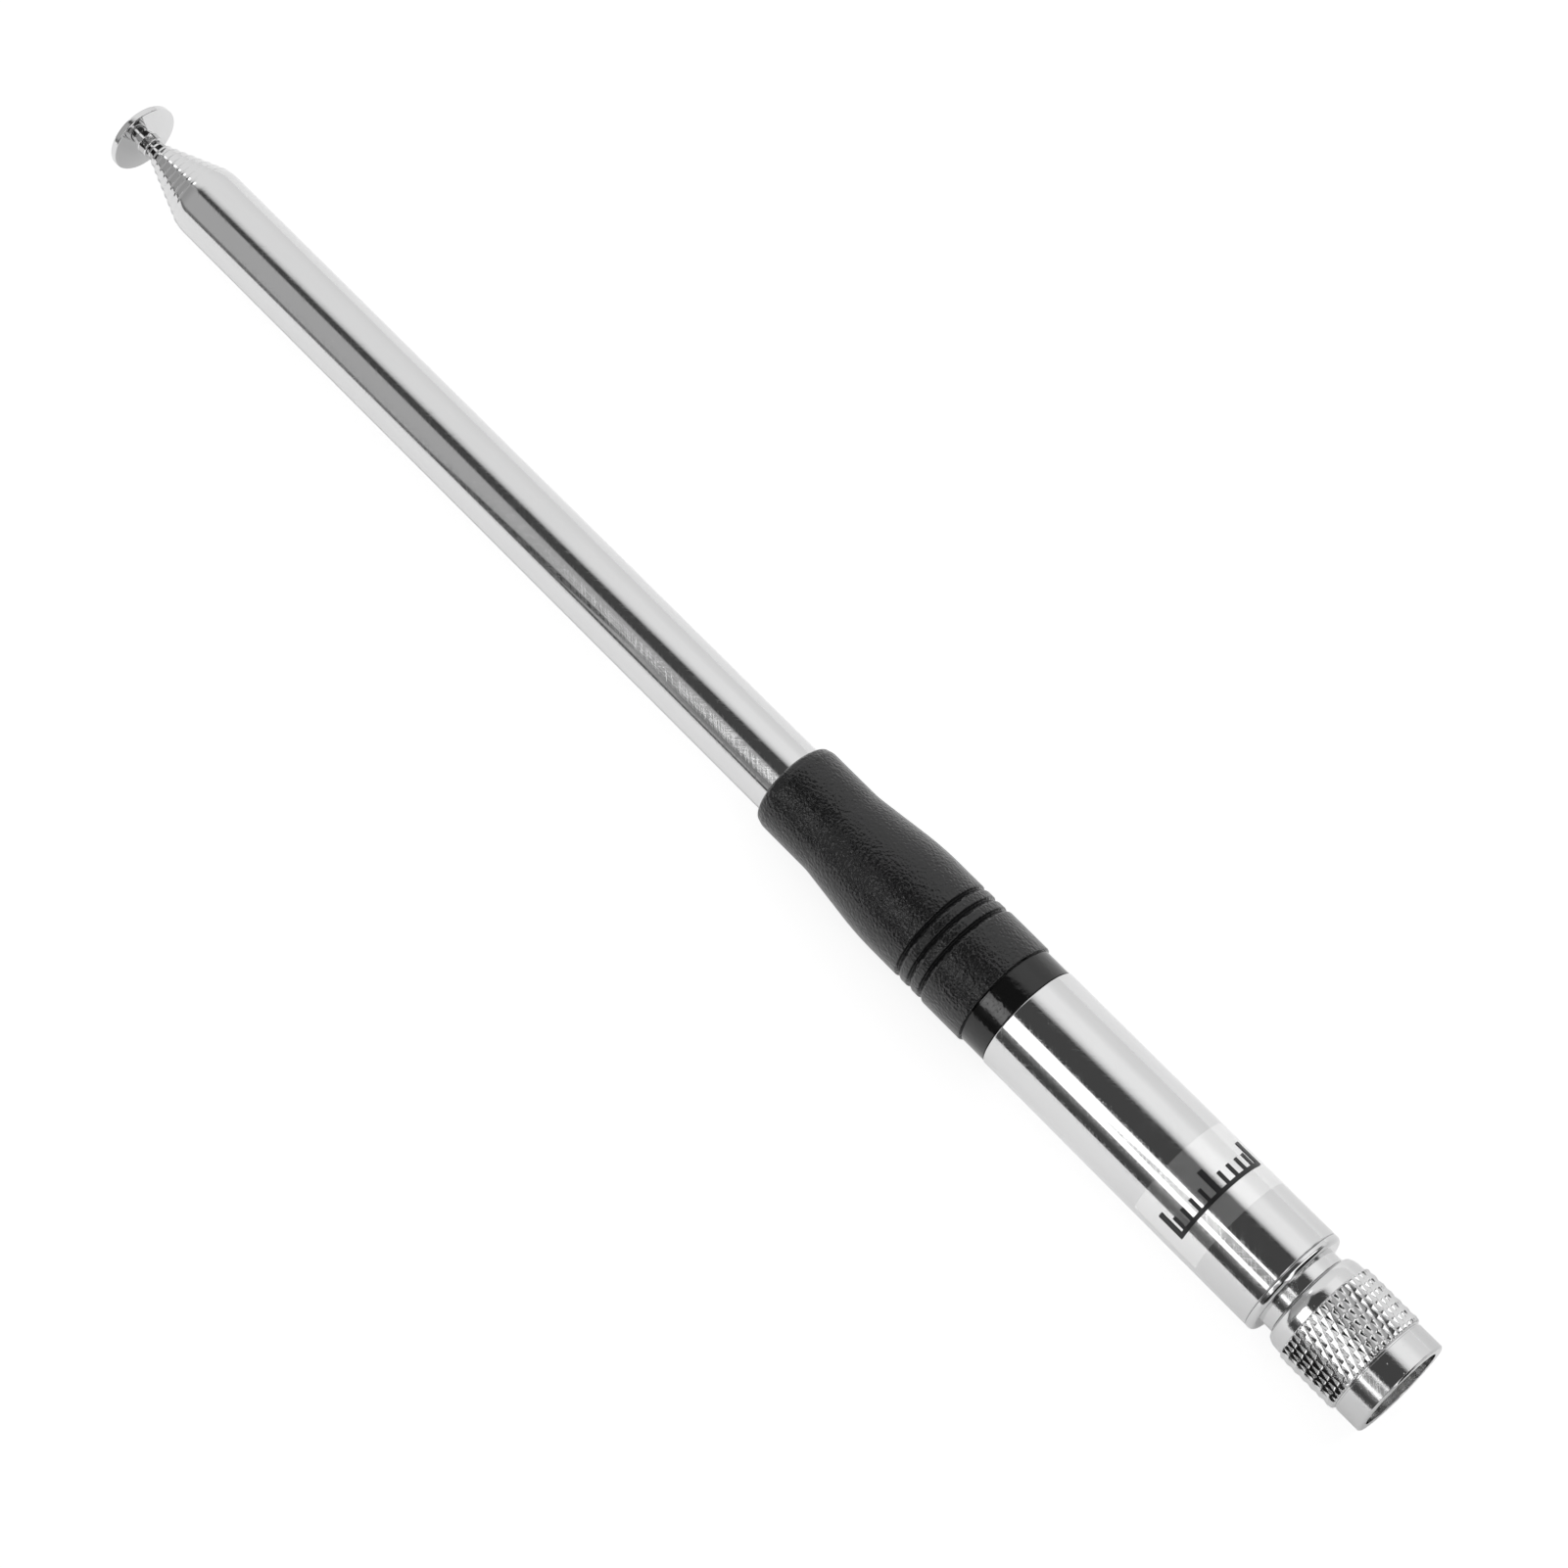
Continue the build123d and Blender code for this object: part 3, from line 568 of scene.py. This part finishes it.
def coupling_nut():
    mesh = bmesh.new()
    knurl_into(mesh)
    thread_into(mesh, MOUTH_END, THREAD_END)
    front = [
        (KNURL_START, RIM_NECK_R), (KNURL_START - 0.16, RIM_NECK_R), (KNURL_START - 0.22, RIM_R, 0.04),
        (NUT_START + 0.2, RIM_R, 0.08), (NUT_START, RIM_R - 0.2, 0.05), (NUT_START, MOUTH_R, 0.06),
        (MOUTH_END, MOUTH_R), (MOUTH_END, THREAD_R),
    ]
    bore_r = HUB_R + PLAY
    back = [
        (THREAD_END, THREAD_R), (THREAD_END, 5.65), (7.5, 5.65), (7.5, bore_r), (9.6, bore_r), (9.6, 5.15),
        (10.8, 5.15), (10.8, bore_r), (NUT_END, bore_r), (NUT_END, 6.0), (NUT_END - 0.2, 6.38, 0.25),
        (NUT_END - 0.9, 6.77, 2.3), (KNURL_END, SHOULDER_R),
    ]
    for line in (front, back):
        revolve_into(mesh, supported(rounded(line, closed=False), closed=False), NUT_SIDES, closed=False)
    make_piece("coupling_nut_knurled", mesh, "coupling", nut_chrome, ["coupling_nut"], 25)


coupling_nut()


# Whip

def section_r(number):
    return SECTION_1_R - SECTION_STEP_R * (number - 1)


def mouth(number):
    """A section's spun-in mouth, from its outer wall round to its inner wall. Wide ones bend more gently."""
    end = span(f"mast_section_{number}")[1]
    start, lip = end - 1.2, end - 0.4
    outer, bore = section_r(number), section_r(number + 1) + PLAY
    bend = 6.0 if number < 5 else 2.8
    return [
        (start, outer, bend), (lip, bore + WALL, 0.15), (end, bore + WALL, 0.17), (end, bore),
        (lip, bore), (start, outer - WALL),
    ]


def foot(number):
    """A sliding section's foot, from the inner wall round to its outer wall."""
    bead, outer = section_r(number - 1) - WALL - PLAY, section_r(number)
    return [
        (SECTION_START, bead), (SECTION_START + 1.2, bead), (SECTION_START + 1.2, outer),
        (SECTION_START + 6.2, outer), (SECTION_START + 6.2, bead), (SECTION_START + 7.0, bead),
        (SECTION_START + 7.0, outer),
    ]


lathe("mast_section_1_drawn", [
    (MAST_START, section_r(1) - WALL), (MAST_START, section_r(1)), *mouth(1),
], "base", whip_chrome, ["mast_section_1"])
for number in range(2, SECTIONS):
    lathe(f"mast_section_{number}_drawn", [
        (SECTION_START, section_r(number) - WALL), *foot(number), *mouth(number),
    ], f"section_{number}", whip_chrome, [f"mast_section_{number}"], 128)
ROD_END = span("mast_section_10")[1]
lathe("mast_section_10_drawn", [
    (SECTION_START, 0), *foot(SECTIONS), (ROD_END, section_r(SECTIONS)), (ROD_END, 0),
], "section_10", whip_chrome, ["mast_section_10"], 96)
lathe("tip_button_turned", [
    (BUTTON_START, 1.0825), (BUTTON_START, BUTTON_HUB_R, 0.15), (224.65, BUTTON_HUB_R, 0.12),
    (225.3, BUTTON_R, 0.14), (226.3, BUTTON_R, 0.35), (BUTTON_END, 0), (ROD_END, 0), (ROD_END, 1.0825),
], "section_10", whip_chrome, ["tip_button"], 192)


# Label film and its marks

def on_tube(x, r, angle_deg):
    angle = math.radians(angle_deg)
    return (x * MM, r * math.cos(angle) * MM, r * math.sin(angle) * MM)


def film_columns():
    """Angle, and lowest and highest x, of each column across the film."""
    round_deg = math.degrees(FILM_CORNER / FILM_OUT)
    near = [round_deg * step / 10 for step in range(11)]
    middle = [round_deg + (FILM_WRAP - 2 * round_deg) * step / 140 for step in range(1, 140)]
    far = [FILM_WRAP - turn for turn in reversed(near)]
    for turn in near + middle + far:
        short = FILM_CORNER - min(FILM_CORNER, math.radians(min(turn, FILM_WRAP - turn)) * FILM_OUT)
        inset = FILM_CORNER - math.sqrt(max(0.0, FILM_CORNER ** 2 - short ** 2))
        yield FILM_FROM + turn, FILM_START + inset, FILM_END - inset


def label_film():
    mesh = bmesh.new()
    columns = []
    for angle, low, high in film_columns():
        places = ((low, FILM_IN), (low, FILM_OUT), (high, FILM_OUT), (high, FILM_IN))
        columns.append([mesh.verts.new(on_tube(x, r, angle)) for x, r in places])
    for first, second in zip(columns, columns[1:]):
        for index in range(4):
            after = (index + 1) % 4
            mesh.faces.new((first[index], first[after], second[after], second[index]))
    mesh.faces.new(columns[0])
    mesh.faces.new(columns[-1])
    make_piece("label_film_wrapped", mesh, "base", clear_film, ["label_film"])


def curved_bar(mesh, x, width, from_deg, to_deg):
    """Thin printed bar on the film."""
    steps = max(1, round(abs(to_deg - from_deg) / 2))
    r_low, r_high = FILM_OUT + 0.002, FILM_OUT + 0.012
    columns = []
    for step in range(steps + 1):
        angle = from_deg + (to_deg - from_deg) * step / steps
        places = ((x, r_low), (x, r_high), (x + width, r_high), (x + width, r_low))
        columns.append([mesh.verts.new(on_tube(px, r, angle)) for px, r in places])
    for first, second in zip(columns, columns[1:]):
        for index in range(4):
            after = (index + 1) % 4
            mesh.faces.new((first[index], first[after], second[after], second[index]))
    mesh.faces.new(columns[0])
    mesh.faces.new(columns[-1])


def scale_marks():
    """Plain graduated scale across the film."""
    mesh = bmesh.new()
    first_deg, last_deg, count = 25.0, 144.0, 11
    base_line = FILM_START + 3.1
    curved_bar(mesh, base_line, 0.55, first_deg, last_deg)
    for index in range(count):
        place = first_deg + (last_deg - first_deg) * index / (count - 1)
        length, half = (3.8, 2.9) if index % 5 == 0 else (2.3, 1.9)
        middle = min(max(place, first_deg + half), last_deg - half)
        curved_bar(mesh, base_line, length, middle - half, middle + half)
    make_piece("scale_marks", mesh, "base", ink_black, [])


label_film()
scale_marks()


# Materials of the CAD nodes that stay

for node, material in {
    "nut_retaining_ring": brass, "nut_gasket": seal_black, "coil_former": former_brown,
    "loading_coil": copper, "lower_lead": copper, "upper_lead": copper, "whip_foot": brass,
    "solder_tag": tinned, "foot_nut": brass,
    **{f"section_{number}_spring": brass for number in range(2, SECTIONS + 1)},
}.items():
    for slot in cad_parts[node].material_slots:
        slot.material = material


# Floor

FLOOR_Z, FLOOR_SIZE = -7.6, 8000.0
FLOOR_MIDDLE = 100.0     # x of the floor's middle
SEEN_GLOW, SEEN_WHITE = 0.86, 0.32
# PLUG_GLOW is the floor's glow with painted shade by the plug end, OPEN_GLOW its glow elsewhere.
PLUG_GLOW, OPEN_GLOW, OTHER_WHITE = 0.24, 0.54, 0.8


def floor_material():
    """White paper, evenly lit for the camera. For reflections its glow carries painted shade towards the plug
    end and a painted shadow in a strip underneath the antenna.
    """
    material, tree = new_material("floor_white")
    shader = shader_of(tree)
    set_inputs(shader, Roughness=0.9, Emission_Color=(1, 1, 1, 1), Specular_IOR_Level=0.0)
    parts = add(tree, "ShaderNodeSeparateXYZ")
    tree.links.new(in_mm(tree), parts.inputs[0])
    # Painted shade: for reflections the floor's glow falls off towards the plug end, from OPEN_GLOW down to
    # PLUG_GLOW.
    glow = band(tree, parts.outputs[0], -110.0, -55.0, PLUG_GLOW, OPEN_GLOW)
    # Painted shadow: for reflections the floor's glow is dimmed in a strip straight under the antenna.
    beside = maths(tree, "ABSOLUTE", maths(tree, "SUBTRACT", parts.outputs[1], 1.5))
    glow = maths(tree, "MULTIPLY", glow, band(tree, beside, 3.0, 6.5, 0.4, 1.0))
    seen = add(tree, "ShaderNodeLightPath").outputs["Is Camera Ray"]
    tree.links.new(mixed(tree, seen, glow, SEEN_GLOW), shader.inputs["Emission Strength"])
    tree.links.new(mixed(tree, seen, OTHER_WHITE, SEEN_WHITE), shader.inputs["Base Color"])
    return material


def floor():
    mesh = bmesh.new()
    bmesh.ops.create_grid(mesh, x_segments=1, y_segments=1, size=FLOOR_SIZE / 2 * MM)
    data = bpy.data.meshes.new("floor")
    mesh.to_mesh(data)
    mesh.free()
    data.materials.append(floor_material())
    plane = bpy.data.objects.new("floor", data)
    bpy.context.scene.collection.objects.link(plane)
    plane.location = (FLOOR_MIDDLE * MM, 0, FLOOR_Z * MM)


# Studio, made of soft-edged panels. A height is an angle about the antenna's axis, in degrees: 0 on the
# horizon at one side, 90 overhead, 180 at the other side. A reach is how far a direction leans along
# the antenna: 0 square to it, 1 along it towards the tip.

def edge_line(tree, reach, stations):
    """Height of a slanted edge: straight between (reach, height) stations."""
    if isinstance(stations, (int, float)):
        return stations
    shifted = maths(tree, "MULTIPLY", maths(tree, "ADD", reach, 1.0), 0.5)
    stops = [((place + 1) / 2, height / 180) for place, height in stations]
    return maths(tree, "MULTIPLY", ramp(tree, shifted, stops), 180.0)


def panel(tree, behind, height, reach, level, low=None, high=None, soft=2.0,
          start=None, end=None, fade=0.02):
    """Lays a panel of one light level over what is behind it."""
    masks = []
    if low is not None:
        above = maths(tree, "SUBTRACT", height, edge_line(tree, reach, low))
        masks.append(band(tree, above, -soft / 2, soft / 2))
    if high is not None:
        above = maths(tree, "SUBTRACT", height, edge_line(tree, reach, high))
        masks.append(band(tree, above, -soft / 2, soft / 2, 1.0, 0.0))
    if start is not None:
        masks.append(band(tree, reach, start - fade / 2, start + fade / 2))
    if end is not None:
        masks.append(band(tree, reach, end - fade / 2, end + fade / 2, 1.0, 0.0))
    mask = masks[0]
    for other in masks[1:]:
        mask = maths(tree, "MULTIPLY", mask, other)
    return mixed(tree, mask, behind, level)


ROOM = 0.075             # light level of the dark room
CEILING_EDGE = [
    (-0.5, 150), (-0.4, 112), (0.13, 105), (0.21, 101.5), (0.3, 98), (0.35, 95), (0.45, 86.5),
    (0.6, 79), (1.0, 76),
]
WALL_EDGE = [(0.26, 62), (0.3, 63.5), (0.35, 65.5), (0.45, 71.5), (0.6, 78), (1.0, 80)]
SWEEP_EDGE = [(0.0, 1.5), (0.22, 1.5), (0.32, 5), (0.37, 6), (0.43, 3), (0.5, 2)]


def raised(stations, degrees):
    return [(place, min(height + degrees, 179)) for place, height in stations]


def studio_level(tree, height, reach):
    """Light level of the studio in every direction."""
    def lay(level, **place):
        nonlocal light
        light = panel(tree, light, height, reach, level, **place)

    direction = add(tree, "ShaderNodeTexCoord").outputs["Generated"]
    streaks = noise(tree, stretched(tree, direction, (16.0, 30.0, 30.0)), 1.0, 3.0, 0.6)
    light = ROOM
    # Ceiling, brightest in the middle
    lay(0.62, low=raised(CEILING_EDGE, 2), soft=7.0)
    lay(0.86, low=raised(CEILING_EDGE, 8), soft=8.0)
    lay(0.98, low=raised(CEILING_EDGE, 15), soft=8.0)
    lay(1.13, low=114, high=148, soft=16.0, end=0.32, fade=0.12)
    lay(0.91, low=158, soft=34.0)
    # Strip light over the near half, with something dark hanging in front of it
    lay(0.3, low=22, high=30, soft=12.0, start=-0.05, end=0.3)
    lay(0.95, low=28.5, high=57.5, start=-0.15, end=0.28, fade=0.05)
    lay(2.1, low=28.5, high=57.5, start=0.11, end=0.28, fade=0.05)
    lay(3.6, low=32, high=54, soft=12.0, start=0.2, end=0.3, fade=0.06)
    lay(1.6, low=28.5, high=36, start=-0.15, end=0.14, fade=0.05)
    lay(0.75, low=[(0.1, 37), (0.14, 37.5), (0.19, 41)],
        high=[(0.1, 50), (0.14, 53.5), (0.165, 48), (0.19, 41)], soft=1.5, end=0.19)
    lay(band(tree, streaks, 0.35, 0.65, 0.2, 0.6), low=38, high=53, soft=2.0, end=0.143)
    # Light wall over the far half, patchy near the strip light
    lay(0.2, low=3, high=14, soft=3.0, start=0.4)
    lay(0.5, low=[(0.39, 10), (0.44, 12.5)], high=WALL_EDGE, soft=5.0, start=0.29, fade=0.03)
    lay(band(tree, streaks, 0.3, 0.7, 0.12, 0.42), low=16, high=35, soft=4.0, start=0.27, end=0.335)
    lay(band(tree, streaks, 0.35, 0.65, 0.3, 0.75), low=36, high=51, soft=3.0, start=0.28, end=0.372)
    # Something dark that stands in front of the wall
    lay(0.07, low=[(0.345, 25), (0.37, 12), (0.4, 9)],
        high=[(0.345, 33), (0.365, 31), (0.4, 19), (0.41, 11)], soft=4.0, start=0.345, end=0.405)
    lay(0.12, low=5, high=13, soft=3.0, start=0.33, end=0.41)
    # Behind the plug: a dark doorway, a dark ceiling with a long lamp, and a bright window
    lay(0.012, low=2, high=76, soft=8.0, end=-0.12)
    lay(0.03, low=94, high=176, soft=6.0, end=-0.36)
    lay(1.6, low=64, high=90, soft=5.0, end=-0.36)
    lay(0.5, low=5, high=60, soft=8.0, end=-0.62)
    lay(ROOM, low=60, high=165, soft=6.0, start=-0.3, end=-0.03)
    lay(1.9, low=78, high=150, soft=6.0, start=-0.36, end=-0.15)
    # Small lamp and a dimmer wall beyond the tip
    lay(2.3, low=83, high=93, soft=4.0, start=0.78, end=0.86)
    lay(0.4, low=10, high=74, soft=6.0, start=0.64, fade=0.22)
    # Paper that sweeps up from the floor
    lay(0.88, high=SWEEP_EDGE, soft=1.5)
    return light


def studio():
    world = bpy.data.worlds.new("studio")
    bpy.context.scene.world = world
    world.use_nodes = True
    tree = world.node_tree
    tree.nodes.clear()
    place = add(tree, "ShaderNodeTexCoord")
    parts = add(tree, "ShaderNodeSeparateXYZ")
    tree.links.new(place.outputs["Generated"], parts.inputs[0])
    along, across, up = parts.outputs
    height = maths(tree, "MULTIPLY", maths(tree, "ARCTAN2", up, across), 180 / math.pi)
    light = add(tree, "ShaderNodeBackground")
    tree.links.new(studio_level(tree, height, along), light.inputs["Color"])
    seen = add(tree, "ShaderNodeBackground")
    set_inputs(seen, Color=(1, 1, 1, 1), Strength=1.0)
    path = add(tree, "ShaderNodeLightPath")
    choose = add(tree, "ShaderNodeMixShader")
    tree.links.new(path.outputs["Is Camera Ray"], choose.inputs[0])
    tree.links.new(light.outputs[0], choose.inputs[1])
    tree.links.new(seen.outputs[0], choose.inputs[2])
    output = add(tree, "ShaderNodeOutputWorld")
    tree.links.new(choose.outputs[0], output.inputs["Surface"])


# Camera, placed where the photo's outline puts it

AIM = (101.1, 0.7, -0.2)
DISTANCE, LENS, SENSOR = 488.7, 92.32, 36.0


def camera():
    forward = Vector((0.2958, -0.2720, -0.9158)).normalized()
    right = Vector((-0.6768, -0.7362, 0.0)).normalized()
    up = right.cross(forward)
    data = bpy.data.cameras.new("camera")
    data.sensor_width = SENSOR
    data.lens = LENS
    data.clip_start = 0.01
    data.clip_end = 20.0
    eye = bpy.data.objects.new("camera", data)
    bpy.context.scene.collection.objects.link(eye)
    turn = Matrix((right, up, -forward)).transposed().to_4x4()
    eye.matrix_world = Matrix.Translation((Vector(AIM) - forward * DISTANCE) * MM) @ turn
    bpy.context.scene.camera = eye


floor()
studio()
camera()
bpy.context.scene.view_settings.view_transform = "Standard"
